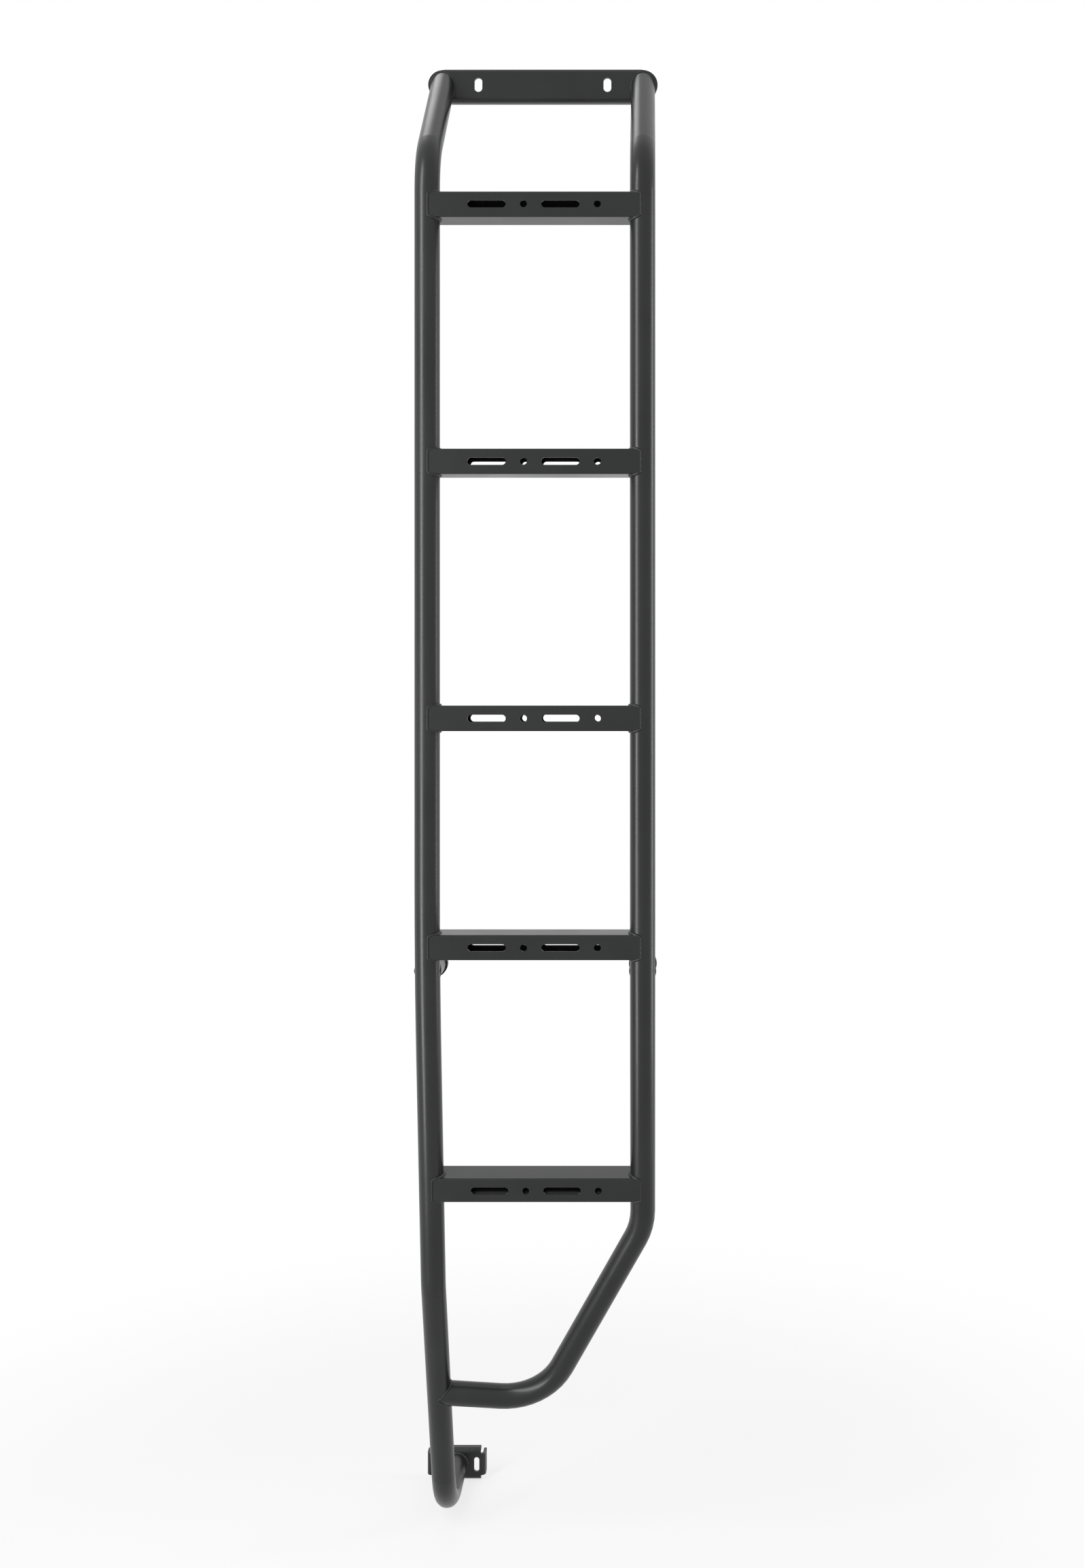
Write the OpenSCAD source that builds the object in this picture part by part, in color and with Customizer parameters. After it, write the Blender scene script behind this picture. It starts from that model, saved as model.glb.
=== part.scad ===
// Van side ladder: two bent tube rails, five slotted rungs of rectangular tube, a folded
// top plate, a folded bottom bracket and two standoff feet with rubber pads, all welded.
// Origin: centre of the back face of the top plate. X runs to the right as seen by
// someone facing the van, Y runs towards the van and Z up. "Drop" is a distance below
// the origin, and "lean" an angle from the vertical.

/* [Rail tube] */
// Outside diameter of the rails and standoffs
rail_d = 38.1; // [32:0.1:42]
// Wall of the rails and standoffs
rail_wall = 3.2; // [2:0.1:4.5]
// Distance between the two rail centre lines
rail_gap = 323; // [300:1:380]
// Centre-line radius of the tight bends
bend_r = 102; // [80:1:120]
// Centre-line radius of the long sweep that follows the side of the van
sweep_r = 1700; // [1200:10:2200]

/* [Side profile] */
// From the back face of the top plate forward to the straight length of the rails
top_reach = 201; // [160:1:240]
// Lean of the top ends
top_lean = 48; // [45:0.5:52]
// Drop of the bend below the top ends
top_drop = 181; // [170:1:195]
// Drop of the corner that the long sweep rounds
sweep_drop = 1404; // [1380:1:1430]
// Lean of the rails below the long sweep
mid_lean = 8.7; // [6:0.1:11]
// Drop of the second bend of the left rail
knee_drop = 1892; // [1870:1:1920]
// Lean of the left rail below its second bend
low_lean = 20.5; // [16:0.5:24]
// Drop of the level tail of the left rail
tail_drop = 2313; // [2290:1:2350]
// From the origin back to the back face of the bottom bracket
tail_reach = 199; // [180:1:230]

/* [Right rail] */
// Drop of the bend where the right rail turns towards the left one
turn_drop = 1796; // [1780:1:1820]
// Drop of its low elbow
elbow_drop = 2100; // [2085:1:2130]
// From the left rail's centre line to the low elbow
elbow_out = 165; // [150:1:185]
// Drop of the point where it meets the left rail's centre line
join_drop = 2088; // [2070:1:2100]

/* [Rungs] */
// Height of the rung tube
rung_h = 38.1; // [32:0.1:42]
// Depth of the rung tube, front to back
rung_depth = 50.8; // [40:0.1:55]
// Wall of the rung tube
rung_wall = 3.2; // [2:0.1:4.5]
// Outside corner radius of the rung tube
rung_round = 3.5; // [2:0.1:6]
// How far the rung's front face lies behind the front of the rails
rung_set = 0.2; // [0.1:0.1:2]
// Drop of the first rung
rung_drop = 252; // [240:1:280]
// Distance between the upper three rungs
rung_pitch = 383; // [350:1:390]
// Drop from the third rung to the fourth
fourth_gap = 341; // [320:1:350]
// Drop from the fourth rung to the fifth
fifth_gap = 374; // [350:1:390]

/* [Rung slots and holes] */
// Length of a slot, over its round ends
slot_len = 57; // [30:1:70]
// Width of a slot
slot_w = 11; // [6:0.5:16]
// Diameter of a hole between the slots
hole_d = 10.5; // [5:0.5:16]
// Distance from a slot to the next hole
hole_pitch = 55; // [45:1:60]

/* [Top plate and bottom bracket] */
// Thickness of the folded plate
plate_t = 5; // [3:0.1:6]
// Height of the plate over its folds
plate_h = 54; // [50:1:60]
// Outside radius of the folds
fold_r = 8.5; // [7:0.1:10]
// Depth of the folded edges, from the front face
fold_depth = 16; // [12:1:22]
// Chamfer at the ends of the folded edges
fold_chamfer = 3; // [1:0.5:5]
// Radius of the round ears that take the rail ends
ear_r = 23.5; // [22:0.1:26]
// Distance between the bolt slots of the top plate
top_slot_gap = 208; // [160:1:230]
// Length of the top plate's bolt slots, over their round ends
top_slot_len = 23; // [16:1:28]
// Width of the top plate's bolt slots
top_slot_w = 12.5; // [8:0.5:14]
// Length of the bottom bracket
low_plate_len = 101; // [90:1:120]
// Depth of the bottom bracket's end folds, from the front face
low_end_depth = 25; // [16:1:35]
// Distance between the bolt slots of the bottom bracket
low_slot_gap = 70; // [64:1:76]
// Length of the bottom bracket's bolt slots
low_slot_len = 25; // [16:1:30]
// Width of the bottom bracket's bolt slots
low_slot_w = 9; // [6:0.5:11]

/* [Standoff feet] */
// Drop of the standoffs
foot_drop = 1398; // [1390:1:1410]
// From the straight rails' centre line back to the face of the rubber pads
foot_reach = 90; // [70:1:120]
// Diameter of the foot's steel disc and rubber pad
foot_d = 43; // [38:0.5:50]
// Thickness of the steel disc
disc_t = 4; // [3:0.5:6]
// Thickness of the rubber pad
pad_t = 8; // [5:0.5:12]
// Rounded edge of the rubber pad
pad_round = 2; // [1:0.5:3]

/* [Welds] */
// Leg of the fillet welds
weld_leg = 4; // [2:0.5:6]
// Radius of the slim bead down the front of a rung's end
bead_r = 1.8; // [1:0.1:3]
// Fit-up clearance between a coped tube end and the rail it sits on
cope_fit = 0.3; // [0.2:0.05:0.5]

/* [Hidden] */
$fn = 96;
coat = "#2b2c2e";
rubber = "#1a1a1b";
rail_r = rail_d / 2;
bore_r = rail_r - rail_wall;
axis_x = rail_gap / 2;
// How far cutters and blanks run past what they cut
over = 60;
// Lap of a straight into a bend, and how much thinner the tube is at a bend
bend_lap = 0.5;
bend_thin = 0.02;
straight_r = rail_r + bend_thin;

// Side profile of the left rail's centre line: [y, z] of its corners
straight_y = -top_reach;
seat_y = -plate_t;
top_seat_z = -top_drop + (top_reach - plate_t) / tan(top_lean);
knee_y = straight_y + (knee_drop - sweep_drop) * tan(mid_lean);
tail_y = knee_y + (tail_drop - knee_drop) * tan(low_lean);
tail_end_y = tail_reach - plate_t;

// Where the long sweep starts and ends
sweep_tangent = sweep_r * tan(mid_lean / 2);
sweep_top = -sweep_drop + sweep_tangent;
sweep_end = sweep_top - sweep_r * sin(mid_lean);

// Lean of the rails at height z, from the straight length to the second bend
function lean_at(z) = z > sweep_top ? 0 : z < sweep_end ? mid_lean : asin((sweep_top - z) / sweep_r);
// Forward place of the rail centre lines at height z
function rail_y(z) =
    z > sweep_end ? straight_y + sweep_r * (1 - cos(lean_at(z)))
    : z > -knee_drop ? straight_y + (-z - sweep_drop) * tan(mid_lean)
    : knee_y + (-z - knee_drop) * tan(low_lean);

rung_z = [-rung_drop,
          -rung_drop - rung_pitch,
          -rung_drop - 2 * rung_pitch,
          -rung_drop - 2 * rung_pitch - fourth_gap,
          -rung_drop - 2 * rung_pitch - fourth_gap - fifth_gap];

// Corners of the two rails' centre lines, from the top end down, and their bend radii
top_end = [seat_y + over, top_seat_z + over / tan(top_lean)];
left_path = [[-axis_x, top_end[0], top_end[1]],
             [-axis_x, straight_y, -top_drop],
             [-axis_x, straight_y, -sweep_drop],
             [-axis_x, knee_y, -knee_drop],
             [-axis_x, tail_y, -tail_drop],
             [-axis_x, tail_end_y + over, -tail_drop]];
left_radii = [bend_r, sweep_r, bend_r, bend_r];
right_path = [[axis_x, top_end[0], top_end[1]],
              [axis_x, straight_y, -top_drop],
              [axis_x, straight_y, -sweep_drop],
              [axis_x, rail_y(-turn_drop), -turn_drop],
              [elbow_out - axis_x, rail_y(-elbow_drop), -elbow_drop],
              [-axis_x, rail_y(-join_drop), -join_drop]];
right_radii = [bend_r, sweep_r, bend_r, bend_r];

function unit(v) = v / norm(v);
// Length that a bend takes from the straights on each side of its corner
function bend_tangent(a, b, c, r) = r * tan(acos(unit(b - a) * unit(c - b)) / 2);

// A straight round bar from point a to point b
module bar(a, b, r) {
    d = b - a;
    translate(a)
        rotate([0, acos(d[2] / norm(d)), atan2(d[1], d[0])])
            cylinder(h = norm(d), r = r);
}

// The bend that rounds corner b between a and c
module elbow(a, b, c, bend, r) {
    d_in = unit(b - a);
    d_out = unit(c - b);
    turn = acos(d_in * d_out);
    inward = unit(d_out - d_in * (d_in * d_out));
    start = b - d_in * bend_tangent(a, b, c, bend);
    centre = start + inward * bend;
    out = -inward;
    axis = cross(out, d_in);
    multmatrix([[out[0], d_in[0], axis[0], centre[0]],
                [out[1], d_in[1], axis[1], centre[1]],
                [out[2], d_in[2], axis[2], centre[2]],
                [0, 0, 0, 1]])
        rotate_extrude(angle = turn, $fn = bend > sweep_r / 2 ? 1440 : 120)
            translate([bend, 0])
                circle(r = r, $fn = 96);
}

// A solid round bar bent along a path of corners. The straights lap a little into the
// bends and stand a hair proud of them, as drawn tube thins where it is bent.
module bent_bar(path, radii, r) {
    last = len(path) - 1;
    // Length taken from each corner by its bend, with none at the two ends
    taken = [for (i = [0:last])
        i == 0 || i == last ? 0
        : bend_tangent(path[i - 1], path[i], path[i + 1], radii[i - 1]) - bend_lap];
    for (i = [0:last - 1]) {
        d = unit(path[i + 1] - path[i]);
        bar(path[i] + d * taken[i], path[i + 1] - d * taken[i + 1], r + bend_thin);
    }
    for (i = [1:last - 1])
        elbow(path[i - 1], path[i], path[i + 1], radii[i - 1], r);
}

module left_outer() { bent_bar(left_path, left_radii, rail_r); }
module right_outer() { bent_bar(right_path, right_radii, rail_r); }

// Everything behind the front faces of the top plate and the bottom bracket
module behind_plates() {
    translate([-rail_gap, seat_y, -over - plate_h])
        cube([2 * rail_gap, top_reach, 3 * over + plate_h]);
    translate([-rail_gap, tail_end_y, -tail_drop - plate_h])
        cube([2 * rail_gap, top_reach, 2 * plate_h]);
}

module left_rail() {
    color(coat)
        difference() {
            left_outer();
            bent_bar(left_path, left_radii, bore_r);
            behind_plates();
        }
}

// The left rail's straight length below its second bend, where the right rail meets it
module low_straight(r) { bar(left_path[3], left_path[4], r); }

// The long sweep of the rail at x, where a standoff meets it
module sweep_at(x, r) {
    elbow([x, straight_y, -top_drop], [x, straight_y, -sweep_drop], [x, knee_y, -knee_drop], sweep_r, r);
}

// The right rail's low end is coped to sit round the left rail
module right_rail() {
    color(coat)
        difference() {
            right_outer();
            bent_bar(right_path, right_radii, bore_r);
            behind_plates();
            low_straight(rail_r + cope_fit);
        }
}

// Rectangle with round corners, made from squares and circles
module round_rect(w, h, r) {
    square([w - 2 * r, h], center = true);
    square([w, h - 2 * r], center = true);
    for (x = [-1, 1], y = [-1, 1])
        translate([x * (w / 2 - r), y * (h / 2 - r)])
            circle(r = r);
}

// Slot of full length l and width w, along X
module slot_2d(l, w) {
    square([l - w, w], center = true);
    for (x = [-1, 1])
        translate([x * (l - w) / 2, 0])
            circle(d = w);
}

// Stands its children up in the rung's own frame: X along, Y through and Z up the rail
module at_rung(i) {
    translate([0, rail_y(rung_z[i]), rung_z[i]])
        rotate([lean_at(rung_z[i]), 0, 0])
            children();
}

rung_front = -rail_r + rung_set;
rung_mid = rung_front + rung_depth / 2;
// The row of slot, hole, slot, hole is centred on the rung by its outer ends
row_start = -(3 * hole_pitch + slot_len / 2 + hole_d / 2) / 2 + slot_len / 2;

// Rectangular bar with the rung's outside or inside section
module rung_bar(depth, h, r, l) {
    translate([-l / 2, rung_mid, 0])
        rotate([90, 0, 90])
            linear_extrude(l)
                round_rect(depth, h, r);
}

module rung_cuts() {
    translate([0, rung_mid + rung_depth, 0])
        rotate([90, 0, 0])
            linear_extrude(2 * rung_depth)
                for (i = [0:1]) {
                    translate([row_start + 2 * i * hole_pitch, 0])
                        slot_2d(slot_len, slot_w);
                    translate([row_start + (2 * i + 1) * hole_pitch, 0])
                        circle(d = hole_d);
                }
}

module rung_blank() { rung_bar(rung_depth, rung_h, rung_round, rail_gap); }

module rung(i) {
    color(coat)
        difference() {
            at_rung(i)
                difference() {
                    rung_blank();
                    rung_bar(rung_depth - 2 * rung_wall, rung_h - 2 * rung_wall,
                             max(rung_round - rung_wall, 0.3), rail_gap + 2);
                    rung_cuts();
                }
            left_outer();
            right_outer();
        }
}

// Fillet on top of a rung, round a rail that stands at the local origin
module weld_ring(from, to) {
    sunk = rail_wall / 2;
    rotate([0, 0, from])
        rotate_extrude(angle = to - from)
            polygon([[rail_r - sunk, -sunk],
                     [rail_r + weld_leg, -sunk],
                     [rail_r + weld_leg, 0],
                     [rail_r, weld_leg],
                     [rail_r - sunk, weld_leg]]);
}

// Angle from the rail's side to where the rung's front face meets it
front_angle = acos(sqrt(pow(rail_r, 2) - pow(rung_front, 2)) / rail_r);

module rung_weld(i, side) {
    // Beads run a little past the rung's top and underside
    bead_len = rung_h + weld_leg;
    color(coat)
        difference() {
            at_rung(i)
                translate([side * axis_x, 0, 0])
                    mirror([side > 0 ? 1 : 0, 0, 0]) {
                        for (flip = [0, 1])
                            mirror([0, 0, flip])
                                translate([0, 0, rung_h / 2])
                                    weld_ring(-front_angle, 90);
                        translate([rail_r * cos(front_angle), rung_front, -bead_len / 2])
                            cylinder(h = bead_len, r = bead_r);
                    }
            left_outer();
            right_outer();
            at_rung(i)
                rung_blank();
            // Where a standoff sits close below the rung
            translate([side * axis_x, stub_back, -foot_drop])
                rotate([90, 0, 0])
                    cylinder(h = stub_len, r = rail_r + weld_leg);
        }
}

// Folded section of the plates, as [y, z]: a web with its top and bottom edges bent back
module fold_section() {
    inner_r = fold_r - plate_t;
    difference() {
        union() {
            translate([fold_depth / 2 - plate_t + fold_r / 2, 0])
                square([fold_depth - fold_r, plate_h], center = true);
            translate([fold_depth / 2 - plate_t, 0])
                square([fold_depth, plate_h - 2 * fold_r], center = true);
            for (s = [-1, 1])
                translate([fold_r - plate_t, s * (plate_h / 2 - fold_r)])
                    circle(r = fold_r);
        }
        translate([inner_r, -plate_h / 2 + plate_t])
            square([fold_depth, plate_h - 2 * plate_t]);
        translate([0, -plate_h / 2 + fold_r])
            square([fold_depth, plate_h - 2 * fold_r]);
        for (s = [-1, 1])
            translate([inner_r, s * (plate_h / 2 - fold_r)])
                circle(r = inner_r);
    }
}

// Length of folded plate along X, its web's back face at Y = 0
module folded_plate(l) {
    translate([-l / 2, 0, 0])
        rotate([90, 0, 90])
            linear_extrude(l)
                fold_section();
}

// Upright bolt slot through a web
module bolt_slot(l, w) {
    translate([0, plate_t, 0])
        rotate([90, 0, 0])
            linear_extrude(3 * plate_t)
                rotate(90)
                    slot_2d(l, w);
}

module top_plate() {
    color(coat)
        difference() {
            union() {
                difference() {
                    folded_plate(rail_gap);
                    for (s = [-1, 1], t = [-1, 1])
                        translate([s * axis_x, fold_depth / 2, t * plate_h / 2])
                            rotate([0, 45, 0])
                                cube([fold_chamfer * sqrt(2), 2 * fold_depth,
                                      fold_chamfer * sqrt(2)], center = true);
                }
                for (s = [-1, 1])
                    translate([s * axis_x, 0, 0])
                        rotate([90, 0, 0])
                            cylinder(h = plate_t, r = ear_r);
                // Lobes that close the tube ends, where these reach below the ears
                intersection() {
                    union() {
                        left_outer();
                        right_outer();
                    }
                    translate([-rail_gap, seat_y, -2 * plate_h])
                        cube([2 * rail_gap, plate_t, 3 * plate_h]);
                }
            }
            for (s = [-1, 1])
                translate([s * top_slot_gap / 2, 0, 0])
                    bolt_slot(top_slot_len, top_slot_w);
        }
}

module bottom_bracket() {
    end_x = low_plate_len / 2;
    color(coat)
        translate([-axis_x, tail_reach, -tail_drop])
            difference() {
                union() {
                    folded_plate(low_plate_len - 2 * fold_r);
                    // Ends bent back like the top and bottom edges
                    for (s = [0, 1])
                        mirror([s, 0, 0])
                            translate([end_x - fold_r, 0, -plate_h / 2 + fold_r])
                                linear_extrude(plate_h - 2 * fold_r)
                                    end_fold_2d();
                }
                for (s = [-1, 1])
                    translate([s * low_slot_gap / 2, 0, 0])
                        bolt_slot(low_slot_len, low_slot_w);
            }
}

// Plan of one bent-back end, as [x, y], starting where the flat web stops
module end_fold_2d() {
    inner_r = fold_r - plate_t;
    difference() {
        union() {
            translate([-plate_t, -plate_t])
                square([plate_t, plate_t]);
            intersection() {
                translate([0, inner_r])
                    circle(r = fold_r);
                translate([0, -plate_t])
                    square([fold_r, fold_r]);
            }
            translate([inner_r, inner_r])
                square([plate_t, low_end_depth - fold_r]);
        }
        translate([0, inner_r])
            circle(r = inner_r);
    }
}

foot_back = straight_y + foot_reach;
disc_back = foot_back - pad_t;
stub_back = disc_back - disc_t;
stub_len = stub_back - rail_y(-foot_drop);

// Short tube behind a rail, coped round it
module standoff(x) {
    color(coat)
        difference() {
            translate([x, stub_back, -foot_drop])
                rotate([90, 0, 0])
                    difference() {
                        cylinder(h = stub_len, r = rail_r);
                        translate([0, 0, -1])
                            cylinder(h = stub_len + 2, r = bore_r);
                    }
            sweep_at(x, rail_r + cope_fit);
        }
}

module foot_disc(x) {
    color(coat)
        translate([x, disc_back, -foot_drop])
            rotate([90, 0, 0])
                cylinder(h = disc_t, d = foot_d);
}

module foot_pad(x) {
    color(rubber)
        translate([x, foot_back, -foot_drop])
            rotate([90, 0, 0])
                rotate_extrude()
                    intersection() {
                        union() {
                            square([foot_d / 2 - pad_round, pad_t]);
                            translate([0, pad_round])
                                square([foot_d / 2, pad_t - pad_round]);
                            translate([foot_d / 2 - pad_round, pad_round])
                                circle(r = pad_round);
                        }
                        square([foot_d, pad_t]);
                    }
}

// Welds round a tube end: where a skin round the rail and one round the tube end cross
module join_weld() {
    color(coat)
        difference() {
            intersection() {
                low_straight(rail_r + weld_leg);
                bar(right_path[5], right_path[4], rail_r + weld_leg - 3 * cope_fit);
            }
            low_straight(rail_r + cope_fit);
            bar(right_path[5], right_path[4], straight_r);
        }
}

module standoff_weld(x) {
    color(coat)
        difference() {
            intersection() {
                sweep_at(x, rail_r + weld_leg);
                translate([x, stub_back, -foot_drop])
                    rotate([90, 0, 0])
                        cylinder(h = stub_len, r = rail_r + weld_leg - 3 * cope_fit);
            }
            sweep_at(x, rail_r + cope_fit);
            translate([x, stub_back, -foot_drop])
                rotate([90, 0, 0])
                    cylinder(h = stub_len, r = rail_r);
        }
}

// Weld collar on the front face of the top plate, kept within the ear
module top_weld(side) {
    path = side < 0 ? left_path : right_path;
    color(coat)
        difference() {
            intersection() {
                bar(path[0], path[1], rail_r + weld_leg);
                translate([side * axis_x, seat_y, 0])
                    rotate([90, 0, 0])
                        cylinder(h = weld_leg, r = ear_r);
            }
            bar(path[0], path[1], straight_r);
        }
}

module bottom_weld() {
    color(coat)
        translate([-axis_x, tail_end_y, -tail_drop])
            rotate([90, 0, 0])
                rotate_extrude()
                    polygon([[straight_r, 0], [rail_r + weld_leg, 0], [straight_r, weld_leg]]);
}

left_rail();
right_rail();
rung(0);  // rung_1
rung(1);  // rung_2
rung(2);  // rung_3
rung(3);  // rung_4
rung(4);  // rung_5
top_plate();
bottom_bracket();
standoff(-axis_x);  // left_standoff
standoff(axis_x);  // right_standoff
foot_disc(-axis_x);  // left_foot_disc
foot_disc(axis_x);  // right_foot_disc
foot_pad(-axis_x);  // left_foot_pad
foot_pad(axis_x);  // right_foot_pad
rung_weld(0, -1);  // rung_1_weld_left
rung_weld(0, 1);  // rung_1_weld_right
rung_weld(1, -1);  // rung_2_weld_left
rung_weld(1, 1);  // rung_2_weld_right
rung_weld(2, -1);  // rung_3_weld_left
rung_weld(2, 1);  // rung_3_weld_right
rung_weld(3, -1);  // rung_4_weld_left
rung_weld(3, 1);  // rung_4_weld_right
rung_weld(4, -1);  // rung_5_weld_left
rung_weld(4, 1);  // rung_5_weld_right
top_weld(-1);  // top_weld_left
top_weld(1);  // top_weld_right
bottom_weld();
join_weld();
standoff_weld(-axis_x);  // standoff_weld_left
standoff_weld(axis_x);  // standoff_weld_right
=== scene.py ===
import math

import bmesh
import bpy
from mathutils import Matrix, Vector


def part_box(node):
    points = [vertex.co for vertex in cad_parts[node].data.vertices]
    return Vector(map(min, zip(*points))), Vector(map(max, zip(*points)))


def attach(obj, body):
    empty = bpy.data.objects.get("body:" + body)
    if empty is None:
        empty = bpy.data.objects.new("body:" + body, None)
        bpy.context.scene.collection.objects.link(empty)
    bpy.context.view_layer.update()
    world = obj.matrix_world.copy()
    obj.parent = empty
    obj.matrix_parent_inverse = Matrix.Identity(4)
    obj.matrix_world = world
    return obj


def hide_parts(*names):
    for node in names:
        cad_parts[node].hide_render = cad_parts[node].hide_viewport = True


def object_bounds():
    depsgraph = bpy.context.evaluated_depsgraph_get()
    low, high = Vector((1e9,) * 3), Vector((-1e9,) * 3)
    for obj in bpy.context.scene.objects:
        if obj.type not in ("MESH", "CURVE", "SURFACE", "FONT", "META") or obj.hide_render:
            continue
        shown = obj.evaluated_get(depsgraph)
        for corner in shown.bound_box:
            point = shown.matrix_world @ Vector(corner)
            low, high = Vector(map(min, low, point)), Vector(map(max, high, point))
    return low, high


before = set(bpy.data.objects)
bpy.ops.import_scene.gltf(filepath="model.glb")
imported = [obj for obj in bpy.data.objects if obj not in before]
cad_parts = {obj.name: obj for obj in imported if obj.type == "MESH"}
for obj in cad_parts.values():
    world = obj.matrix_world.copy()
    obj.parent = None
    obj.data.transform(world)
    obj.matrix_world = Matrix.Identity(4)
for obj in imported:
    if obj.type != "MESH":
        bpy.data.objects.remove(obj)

cad_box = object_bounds()
MM = 0.001
BODY = "root"
RUNGS = 5
SIDES = {"left": -1, "right": 1}

# The photograph's frame, in pixels, and the camera that took it
IMAGE_W = 1596
IMAGE_H = 2308
LONG_SENSOR = 36.0
# Where level lines that run straight back meet
VANISH_X = 955
VANISH_Y = 1015
# Pixels to a millimetre at the middle of the straight rails, and how far off these are
PIXELS_PER_MM = 0.982
CAMERA_DISTANCE = 2.600
CAMERA_X = 0.1705
CAMERA_Z = -0.975

# Side profile of the rails, as in the part
STRAIGHT_Y = -0.201
SWEEP_R = 1.700
SWEEP_DROP = 1.404
MID_LEAN = math.radians(8.7)
LOW_LEAN = math.radians(20.5)
TOP_LEAN = math.radians(48)
TOP_DROP = 0.181
KNEE_DROP = 1.892
ELBOW_DROP = 2.100
ELBOW_OUT = 0.165
JOIN_DROP = 2.088
RUNG_ROUND = 3.5 * MM

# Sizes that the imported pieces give
def middle_of(node):
    lo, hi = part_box(node)
    return (lo + hi) / 2


def size_of(node):
    lo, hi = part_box(node)
    return hi - lo


RAIL_R = size_of("left_standoff").x / 2
RAIL_X = -middle_of("left_standoff").x
STANDOFF_Z = middle_of("left_standoff").z
RUNG_H = size_of("rung_1").z
RUNG_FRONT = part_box("rung_1")[0].y - STRAIGHT_Y
PLATE_FRONT_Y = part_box("top_plate")[0].y
BRACKET_FRONT_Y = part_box("bottom_bracket")[0].y
BRACKET_Z = middle_of("bottom_bracket").z

# Weld beads: half their thickness in a square corner, where two skins run level, and on the top plate
CORNER_BEAD = 3.0 * MM
LEVEL_BEAD = 1.5 * MM
PLATE_BEAD = 2.2 * MM
# One ripple for each pulse of the torch, and how deep the valleys between them are
RIPPLE_PITCH = 2.8 * MM
RIPPLE_DEPTH = 0.16
RINGS_PER_RIPPLE = 4
BEAD_SIDES = 10
# Length over which an open bead swells from its start and dies away at its stop, and its tip's share
RUN_OUT = 2.5 * MM
TIP_SHARE = 0.05
# Points to a full turn round a tube, and to the quarter turn over a rung's rounded edge
TURN_STEPS = 120
EDGE_STEPS = 6
# Where a rung's bead starts, behind the rail, as an angle from its side
START_ANGLE = 88


# Side profile
def sweep_top():
    return -SWEEP_DROP + SWEEP_R * math.tan(MID_LEAN / 2)


def lean_at(z):
    """Lean of the rails from the upright at height z, above the second bend."""
    turned = (sweep_top() - z) / SWEEP_R
    return math.asin(min(max(turned, 0.0), math.sin(MID_LEAN)))


def rail_y(z):
    """Forward place of the left rail's centre line at height z, below the top bend."""
    knee_y = STRAIGHT_Y + (KNEE_DROP - SWEEP_DROP) * math.tan(MID_LEAN)
    if z < -KNEE_DROP:
        return knee_y + (-z - KNEE_DROP) * math.tan(LOW_LEAN)
    if lean_at(z) < MID_LEAN:
        return STRAIGHT_Y + SWEEP_R * (1 - math.cos(lean_at(z)))
    return STRAIGHT_Y + (-z - SWEEP_DROP) * math.tan(MID_LEAN)


# Weld paths: each is a list of (point in the corner, way out of the corner, half thickness)
def corner(point, skin_out, other_out, square=CORNER_BEAD):
    """A place on a path: the bead is full in a square corner and slim where the skins run level."""
    level = max(skin_out.dot(other_out), 0.0)
    half = square + (LEVEL_BEAD - square) * level if square > LEVEL_BEAD else square
    return point, (skin_out + other_out).normalized(), half


def rung_end_path(rung_z, side):
    """Round the end of a rung from behind the rail, over the top, down the front and back below."""
    half_h = RUNG_H / 2
    places = []
    angle = math.radians(START_ANGLE)
    while RAIL_R * math.sin(angle) > RUNG_FRONT + RUNG_ROUND:
        places.append((RAIL_R * math.sin(angle), half_h, 0.0))
        angle -= math.tau / TURN_STEPS
    for step in range(EDGE_STEPS + 1):
        turn = math.pi / 2 * step / EDGE_STEPS
        places.append((RUNG_FRONT + RUNG_ROUND * (1 - math.sin(turn)),
                       half_h - RUNG_ROUND * (1 - math.cos(turn)), turn))
    places += [(y, -z, math.pi - turn) for y, z, turn in reversed(places)]
    stand = Matrix.Translation((0, rail_y(rung_z), rung_z)) @ Matrix.Rotation(lean_at(rung_z), 4, "X")
    path = []
    for y, z, turn in places:
        x = math.sqrt(RAIL_R ** 2 - y ** 2)
        rung_out = Vector((0, -math.sin(turn), math.cos(turn)))
        rail_out = Vector((-side * x, y, 0)) / RAIL_R
        path.append(corner(stand @ Vector((side * (RAIL_X - x), y, z)),
                           stand.to_3x3() @ rung_out, stand.to_3x3() @ rail_out))
    return path


def round_places(axis):
    """Unit vectors all round an axis."""
    across = axis.orthogonal().normalized()
    beside = axis.cross(across)
    for step in range(TURN_STEPS):
        angle = math.tau * step / TURN_STEPS
        yield across * math.cos(angle) + beside * math.sin(angle)


def saddle_path(start, along, main_point, main_along):
    """Where the skin of a tube end meets the skin of the tube that it sits on, of the same diameter."""
    path = []
    for out in round_places(along):
        edge = start + out * RAIL_R
        offset = edge - main_point
        flat_offset = offset - main_along * offset.dot(main_along)
        flat_along = along - main_along * along.dot(main_along)
        a = flat_along.length_squared
        b = flat_offset.dot(flat_along)
        c = flat_offset.length_squared - RAIL_R ** 2
        reach = (-b + math.sqrt(max(b * b - a * c, 0.0))) / a
        main_out = (flat_offset + flat_along * reach) / RAIL_R
        path.append(corner(edge + along * reach, out, main_out))
    return path


def plate_path(centre, along, square):
    """Round a tube that meets a plate whose front faces the viewer."""
    plate_out = Vector((0, -1, 0))
    path = []
    for out in round_places(along):
        edge = centre + out * RAIL_R
        edge += along * ((centre.y - edge.y) / along.y)
        path.append(corner(edge, out, plate_out, square))
    return path


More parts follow.
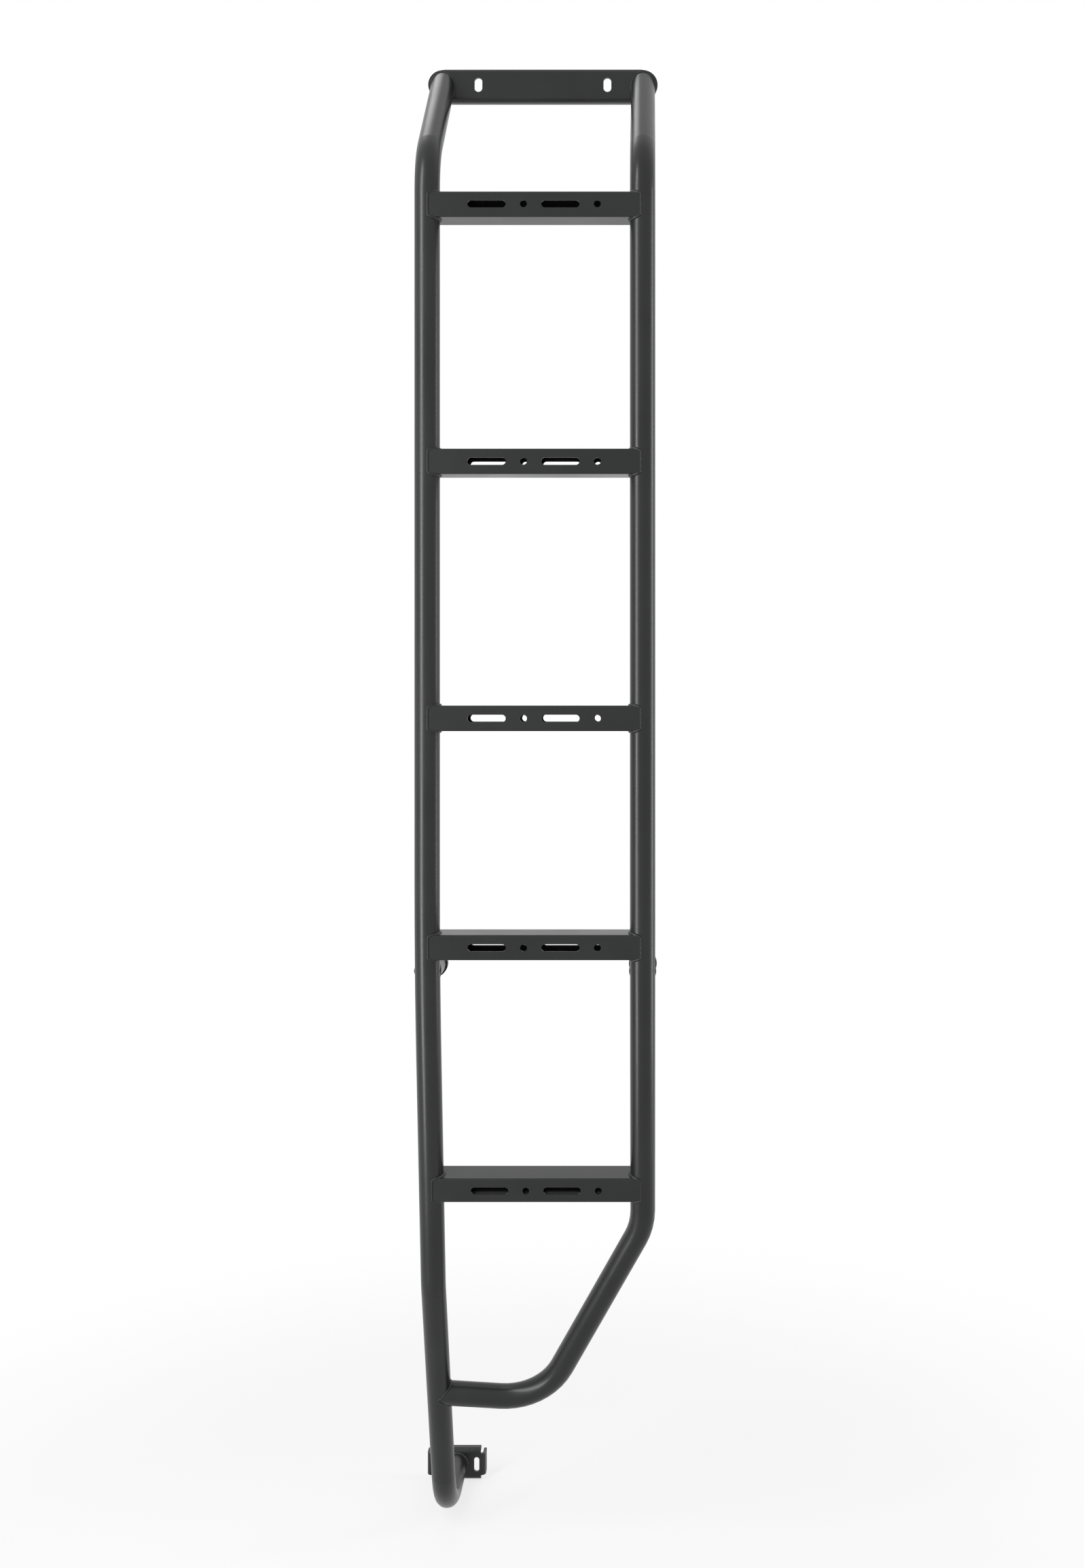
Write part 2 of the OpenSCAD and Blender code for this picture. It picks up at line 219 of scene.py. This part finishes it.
def even_steps(path, closed):
    """The path again, at even steps that put whole ripples along it."""
    knots = path + path[:1] if closed else path
    ends = [0.0]
    for (a, _, _), (b, _, _) in zip(knots, knots[1:]):
        ends.append(ends[-1] + (b - a).length)
    ripples = max(round(ends[-1] / RIPPLE_PITCH), 1)
    count = ripples * RINGS_PER_RIPPLE
    steps = []
    k = 0
    for i in range(count if closed else count + 1):
        s = ends[-1] * i / count
        while k < len(knots) - 2 and ends[k + 1] < s:
            k += 1
        share = (s - ends[k]) / max(ends[k + 1] - ends[k], 1e-9)
        point, out, half = (knots[k][j] * (1 - share) + knots[k + 1][j] * share for j in range(3))
        half *= 1 - RIPPLE_DEPTH * (1 - abs(math.sin(math.pi * i / RINGS_PER_RIPPLE)))
        if not closed:
            half *= math.sqrt(min(min(s, ends[-1] - s) / RUN_OUT + TIP_SHARE, 1.0))
        steps.append((point, out.normalized(), half))
    return steps


def ring_place(steps, i, closed):
    """Matrix that puts a unit circle round step i of a bead."""
    last = len(steps) - 1
    before = steps[i - 1 if i or closed else 0][0]
    after = steps[(i + 1) % len(steps) if closed else min(i + 1, last)][0]
    point, out, half = steps[i]
    along = (after - before).normalized()
    beside = along.cross(out).normalized()
    out = beside.cross(along)
    turned = Matrix((beside, out, along)).transposed().to_4x4()
    return Matrix.Translation(point) @ turned @ Matrix.Scale(half, 4)


def bead(name, path, closed, stands_for):
    """A rippled weld bead, drawn ring by ring along its path, in place of a plain fillet."""
    steps = even_steps(path, closed)
    places = [ring_place(steps, i, closed) for i in range(len(steps))]
    bm = bmesh.new()
    made = bmesh.ops.create_circle(bm, cap_ends=False, segments=BEAD_SIDES, radius=1.0, matrix=places[0])
    first = list({edge for vert in made["verts"] for edge in vert.link_edges})
    ring = first
    for here, there in zip(places, places[1:]):
        drawn = bmesh.ops.extrude_edge_only(bm, edges=ring)["geom"]
        verts = [item for item in drawn if isinstance(item, bmesh.types.BMVert)]
        bmesh.ops.transform(bm, matrix=there @ here.inverted(), verts=verts)
        moved = set(verts)
        ring = [item for item in drawn
                if isinstance(item, bmesh.types.BMEdge) and moved.issuperset(item.verts)]
    if closed:
        bmesh.ops.bridge_loops(bm, edges=first + ring)
    else:
        bmesh.ops.contextual_create(bm, geom=first)
        bmesh.ops.contextual_create(bm, geom=ring)
    finish_bead(name, bm, stands_for)


def finish_bead(name, bm, stands_for):
    """Makes the object, with its normals outward, and lets it ride with the ladder."""
    bmesh.ops.remove_doubles(bm, verts=bm.verts, dist=0.001 * MM)
    bmesh.ops.recalc_face_normals(bm, faces=bm.faces)
    for face in bm.faces:
        face.smooth = True
    mesh = bpy.data.meshes.new(name)
    bm.to_mesh(mesh)
    bm.free()
    mesh.materials.append(coat)
    piece = bpy.data.objects.new(name, mesh)
    bpy.context.scene.collection.objects.link(piece)
    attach(piece, BODY)
    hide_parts(stands_for)


# The welds, each in place of the plain fillet of its name
def weld_rung(number, word):
    fillet = f"rung_{number}_weld_{word}"
    path = rung_end_path(middle_of(fillet).z, SIDES[word])
    bead(f"rung_{number}_bead_{word}", path, False, fillet)


def weld_top_end(word):
    tube_up = Vector((0, math.sin(TOP_LEAN), math.cos(TOP_LEAN)))
    seat_z = -TOP_DROP + (PLATE_FRONT_Y - STRAIGHT_Y) / math.tan(TOP_LEAN)
    seat = Vector((SIDES[word] * RAIL_X, PLATE_FRONT_Y, seat_z))
    bead(f"top_bead_{word}", plate_path(seat, tube_up, PLATE_BEAD), True, f"top_weld_{word}")


def weld_standoff(word):
    lean = lean_at(STANDOFF_Z)
    rail_down = Vector((0, math.sin(lean), -math.cos(lean)))
    rail_point = Vector((SIDES[word] * RAIL_X, rail_y(STANDOFF_Z), STANDOFF_Z))
    path = saddle_path(rail_point, Vector((0, 1, 0)), rail_point, rail_down)
    bead(f"standoff_bead_{word}", path, True, f"standoff_weld_{word}")


def weld_bracket():
    tube_end = Vector((-RAIL_X, BRACKET_FRONT_Y, BRACKET_Z))
    bead("bottom_bead", plate_path(tube_end, Vector((0, 1, 0)), CORNER_BEAD), True, "bottom_weld")


def weld_join():
    """Where the right rail's low end sits on the left rail."""
    join = Vector((-RAIL_X, rail_y(-JOIN_DROP), -JOIN_DROP))
    elbow = Vector((ELBOW_OUT - RAIL_X, rail_y(-ELBOW_DROP), -ELBOW_DROP))
    left_rail_down = Vector((0, math.sin(LOW_LEAN), -math.cos(LOW_LEAN)))
    path = saddle_path(join, (elbow - join).normalized(), join, left_rail_down)
    bead("join_bead", path, True, "join_weld")


# Materials
def srgb(code):
    """Linear colour of an sRGB hex value."""
    parts = [int(code[i:i + 2], 16) / 255 for i in (1, 3, 5)]
    return (*[p / 12.92 if p <= 0.04045 else ((p + 0.055) / 1.055) ** 2.4 for p in parts], 1.0)


def add(tree, kind, settings=None, inputs=None):
    """A node with its settings and inputs. An input may be a value or another node's output."""
    node = tree.nodes.new(kind)
    for key, value in (settings or {}).items():
        setattr(node, key, value)
    for key, value in (inputs or {}).items():
        if isinstance(value, bpy.types.NodeSocket):
            tree.links.new(value, node.inputs[key])
        else:
            node.inputs[key].default_value = value
    return node


def new_material(name):
    material = bpy.data.materials.new(name)
    material.use_nodes = True
    material.node_tree.nodes.clear()
    return material, material.node_tree


def powder_coated_metal():
    """Satin black polyester powder on welded tube: baked on, so that it flows into a faint
    orange peel, dark and even face on and pale where it is seen at a low angle."""
    peel_width = 3.0 * MM
    film_width = 90.0 * MM
    material, tree = new_material("satin_black_powder_coat_baked")
    place = add(tree, "ShaderNodeTexCoord").outputs["Object"]
    film = add(tree, "ShaderNodeTexNoise", inputs={
        "Vector": place, "Scale": 1 / film_width, "Detail": 3.0, "Roughness": 0.5})
    peel = add(tree, "ShaderNodeTexNoise", inputs={
        "Vector": place, "Scale": 1 / peel_width, "Detail": 2.0, "Roughness": 0.45})
    colour = add(tree, "ShaderNodeValToRGB", inputs={"Fac": film.outputs["Fac"]})
    colour.color_ramp.elements[0].position = 0.35
    colour.color_ramp.elements[0].color = srgb("#161717")
    colour.color_ramp.elements[1].position = 0.65
    colour.color_ramp.elements[1].color = srgb("#1b1c1c")
    gloss = add(tree, "ShaderNodeMapRange", inputs={
        "Value": film.outputs["Fac"], "From Min": 0.3, "From Max": 0.7, "To Min": 0.28, "To Max": 0.34})
    relief = add(tree, "ShaderNodeBump", inputs={
        "Height": peel.outputs["Fac"], "Strength": 0.35, "Distance": 0.06 * MM})
    skin = add(tree, "ShaderNodeBsdfPrincipled", inputs={
        "Base Color": colour.outputs["Color"], "Roughness": gloss.outputs["Result"],
        "Normal": relief.outputs["Normal"], "IOR": 1.43})
    add(tree, "ShaderNodeOutputMaterial", inputs={"Surface": skin.outputs["BSDF"]})
    return material


def moulded_rubber():
    """Black EPDM rubber, moulded: matt, with the fine even grain of a blasted mould and a dusty bloom."""
    grain_width = 0.8 * MM
    bloom_width = 14.0 * MM
    material, tree = new_material("black_epdm_rubber_moulded")
    place = add(tree, "ShaderNodeTexCoord").outputs["Object"]
    grain = add(tree, "ShaderNodeTexNoise", inputs={
        "Vector": place, "Scale": 1 / grain_width, "Detail": 3.0, "Roughness": 0.6})
    bloom = add(tree, "ShaderNodeTexNoise", inputs={
        "Vector": place, "Scale": 1 / bloom_width, "Detail": 4.0, "Roughness": 0.55})
    colour = add(tree, "ShaderNodeValToRGB", inputs={"Fac": bloom.outputs["Fac"]})
    colour.color_ramp.elements[0].position = 0.4
    colour.color_ramp.elements[0].color = srgb("#161617")
    colour.color_ramp.elements[1].position = 0.75
    colour.color_ramp.elements[1].color = srgb("#252526")
    relief = add(tree, "ShaderNodeBump", inputs={
        "Height": grain.outputs["Fac"], "Strength": 0.5, "Distance": 0.08 * MM})
    skin = add(tree, "ShaderNodeBsdfPrincipled", inputs={
        "Base Color": colour.outputs["Color"], "Roughness": 0.82,
        "Normal": relief.outputs["Normal"], "IOR": 1.5})
    add(tree, "ShaderNodeOutputMaterial", inputs={"Surface": skin.outputs["BSDF"]})
    return material


def seen_directly(tree):
    """1 for what the camera sees, straight on or in a gloss or through glass, and 0 otherwise."""
    path = add(tree, "ShaderNodeLightPath")
    total = add(tree, "ShaderNodeMath", {"operation": "ADD"}, {
        0: path.outputs["Is Camera Ray"], 1: path.outputs["Is Glossy Ray"]})
    return add(tree, "ShaderNodeMath", {"operation": "ADD", "use_clamp": True}, {
        0: total.outputs[0], 1: path.outputs["Is Transmission Ray"]}).outputs[0]


def studio_paper():
    """White studio paper, matt: it holds a soft shadow near the ladder and fades to plain white."""
    fade_from = 0.5
    fade_to = 1.6
    shadow_share = 0.25
    material, tree = new_material("studio_paper_matt_white")
    place = add(tree, "ShaderNodeTexCoord").outputs["Object"]
    spread = add(tree, "ShaderNodeVectorMath", {"operation": "LENGTH"}, {0: place})
    fade = add(tree, "ShaderNodeMapRange", {"interpolation_type": "SMOOTHSTEP"}, {
        "Value": spread.outputs["Value"], "From Min": fade_from, "From Max": fade_to,
        "To Min": 1 - shadow_share, "To Max": 1.0})
    white = add(tree, "ShaderNodeMath", {"operation": "MULTIPLY"}, {
        0: fade.outputs["Result"], 1: seen_directly(tree)})
    paper = add(tree, "ShaderNodeBsdfDiffuse", inputs={"Color": srgb("#f4f4f4")})
    glow = add(tree, "ShaderNodeEmission", inputs={"Color": srgb("#ffffff"), "Strength": 1.0})
    both = add(tree, "ShaderNodeMixShader", inputs={
        0: white.outputs[0], 1: paper.outputs["BSDF"], 2: glow.outputs["Emission"]})
    add(tree, "ShaderNodeOutputMaterial", inputs={"Surface": both.outputs["Shader"]})
    return material


# Studio
def make_camera():
    camera = bpy.data.objects.new("camera", bpy.data.cameras.new("camera"))
    bpy.context.scene.collection.objects.link(camera)
    camera.location = (CAMERA_X, STRAIGHT_Y - CAMERA_DISTANCE, CAMERA_Z)
    camera.rotation_euler = (math.radians(90), 0, 0)
    focal_pixels = PIXELS_PER_MM * CAMERA_DISTANCE / MM
    camera.data.sensor_width = LONG_SENSOR
    camera.data.lens = focal_pixels / IMAGE_H * LONG_SENSOR
    camera.data.shift_x = (IMAGE_W / 2 - VANISH_X) / IMAGE_H
    camera.data.shift_y = (VANISH_Y - IMAGE_H / 2) / IMAGE_H
    bpy.context.scene.camera = camera


def softbox(name, place, aim, width, height, power):
    """A lamp with an even square face, turned to what it lights."""
    lamp = bpy.data.lights.new(name, "AREA")
    lamp.shape = "RECTANGLE"
    lamp.size = width
    lamp.size_y = height
    lamp.energy = power
    lamp_object = bpy.data.objects.new(name, lamp)
    bpy.context.scene.collection.objects.link(lamp_object)
    lamp_object.location = place
    lamp_object.rotation_euler = (Vector(aim) - Vector(place)).to_track_quat("-Z", "Y").to_euler()


def light_studio():
    world = bpy.data.worlds.new("white_studio")
    world.use_nodes = True
    bpy.context.scene.world = world
    tree = world.node_tree
    tree.nodes.clear()
    soft = add(tree, "ShaderNodeBackground", inputs={"Color": srgb("#ffffff"), "Strength": 0.45})
    white = add(tree, "ShaderNodeBackground", inputs={"Color": srgb("#ffffff"), "Strength": 1.0})
    both = add(tree, "ShaderNodeMixShader", inputs={
        0: seen_directly(tree), 1: soft.outputs["Background"], 2: white.outputs["Background"]})
    add(tree, "ShaderNodeOutputWorld", inputs={"Surface": both.outputs["Shader"]})
    # The left strip stands near the ladder, so that the leaning lower rails still mirror it
    softbox("left_strip", place=(-0.95, -0.97, -0.7), aim=(-0.16, -0.2, -0.7),
            width=0.24, height=3.2, power=30)
    softbox("right_strip", place=(2.4, 0.1, -1.0), aim=(0.16, -0.15, -1.0),
            width=0.5, height=2.8, power=30)
    # High and behind, for the top ends that lean back
    softbox("top_box", place=(-0.55, 0.75, 1.15), aim=(0, -0.1, -0.1),
            width=0.6, height=0.6, power=3)


def lay_floor():
    bm = bmesh.new()
    bmesh.ops.create_grid(bm, x_segments=1, y_segments=1, size=3.0)
    mesh = bpy.data.meshes.new("floor")
    bm.to_mesh(mesh)
    bm.free()
    floor = bpy.data.objects.new("floor", mesh)
    bpy.context.scene.collection.objects.link(floor)
    floor.location = (0, 0, cad_box[0].z - 1 * MM)
    floor.data.materials.append(studio_paper())


coat = powder_coated_metal()
rubber = moulded_rubber()
for node_name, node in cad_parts.items():
    for material_slot in node.material_slots:
        material_slot.material = rubber if node_name.endswith("foot_pad") else coat
for side_word in SIDES:
    for rung_number in range(1, RUNGS + 1):
        weld_rung(rung_number, side_word)
    weld_top_end(side_word)
    weld_standoff(side_word)
weld_bracket()
weld_join()
make_camera()
light_studio()
lay_floor()
bpy.context.scene.view_settings.view_transform = "Standard"
